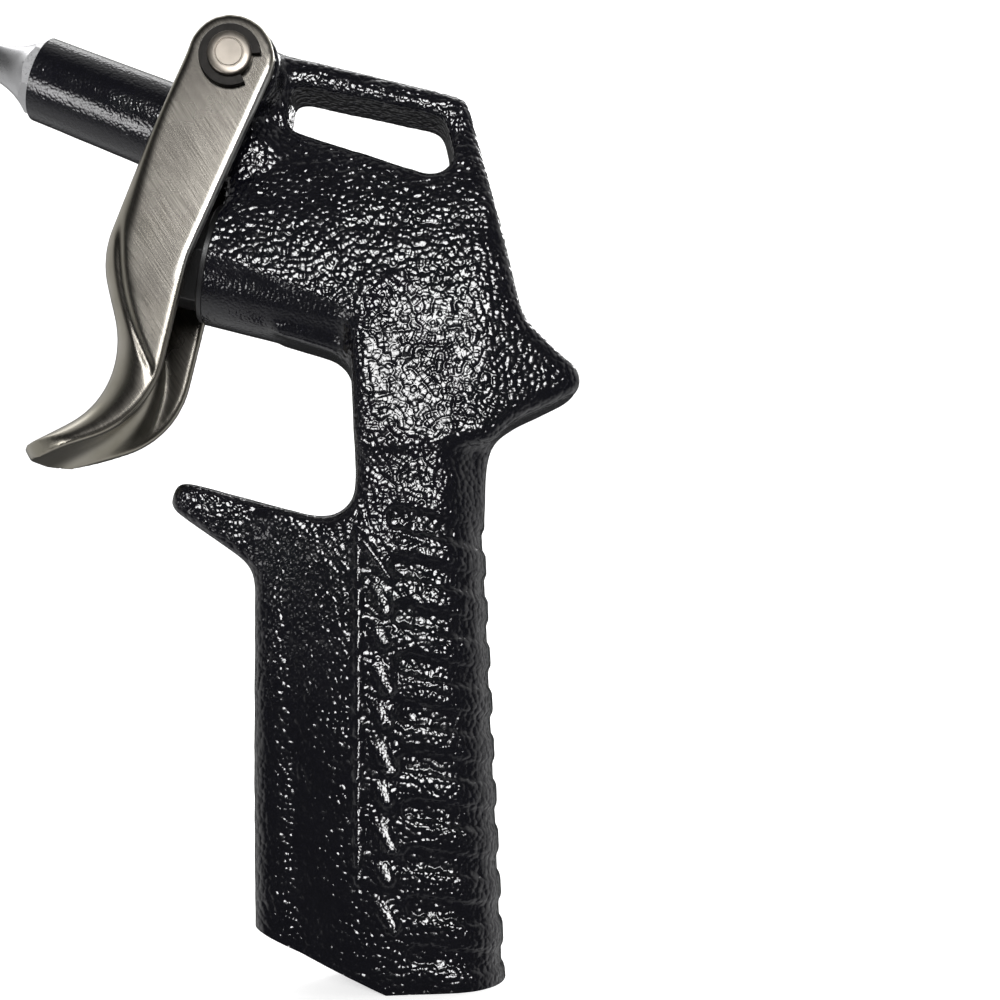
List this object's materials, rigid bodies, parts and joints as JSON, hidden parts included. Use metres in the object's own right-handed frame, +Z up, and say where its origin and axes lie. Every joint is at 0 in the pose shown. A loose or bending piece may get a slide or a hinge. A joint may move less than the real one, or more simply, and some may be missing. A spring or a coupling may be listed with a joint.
{
  "type": "air blow gun",
  "caption": "Pistol-grip compressed-air blow gun: cast body with a hanging hook, squeeze lever on a cross pin, push valve and a short nozzle.",
  "frame": {"origin": "centre of the air inlet's mouth, in the flat bottom of the grip", "axes": "+Z up along the inlet thread's axis, nozzle towards -X, rear spur towards +X, Y = 0 is the mirror plane"},
  "size_m": [0.098, 0.0271, 0.1442],
  "materials": {
    "painted_casting": "gloss hammertone enamel",
    "pressed_steel": "brushed",
    "turned_steel": "satin turned",
    "black_spring_steel": "blackened",
    "black_cap": "satin",
    "seal_rubber": "matte",
    "brass_cage": "turned",
    "stem_brass": "turned",
    "poppet_rubber": "matte",
    "plated_steel": "zinc plated",
    "spring_steel": "drawn wire",
    "nozzle_aluminium": "turned"
  },
  "bodies": {
    "frame": {"body_casting": "painted_casting", "lever_pin": "turned_steel", "pin_clip": "black_spring_steel", "valve_cap": "black_cap", "cap_seal": "seal_rubber", "valve_cage": "brass_cage", "cage_seal": "seal_rubber", "nozzle": "nozzle_aluminium", "nozzle_seal": "seal_rubber"},
    "lever": {"lever": "pressed_steel"},
    "valve": {"valve_stem": "stem_brass", "stem_seal": "seal_rubber", "poppet_seal": "poppet_rubber", "poppet_washer": "plated_steel", "poppet_nut": "plated_steel", "valve_spring": "spring_steel"}
  },
  "joints": [
    {"name": "lever_pivot", "type": "hinge", "parent": "frame", "child": "lever", "pos_m": [-0.0235, 0, 0.1296], "axis": [0, -1, 0], "range_deg": [0, 6.8], "stiffness_Nm_per_rad": 0.6, "springref_deg": -8.59},
    {"name": "stem_slide", "type": "slide", "parent": "frame", "child": "valve", "axis": [0.9627, 0, -0.2706], "range_m": [0, 0.0032], "deforming": ["valve_spring"]}
  ],
  "couplings": [
    {"joint": "stem_slide", "follows": "lever_pivot", "m_per_rad": 0.0262}
  ]
}
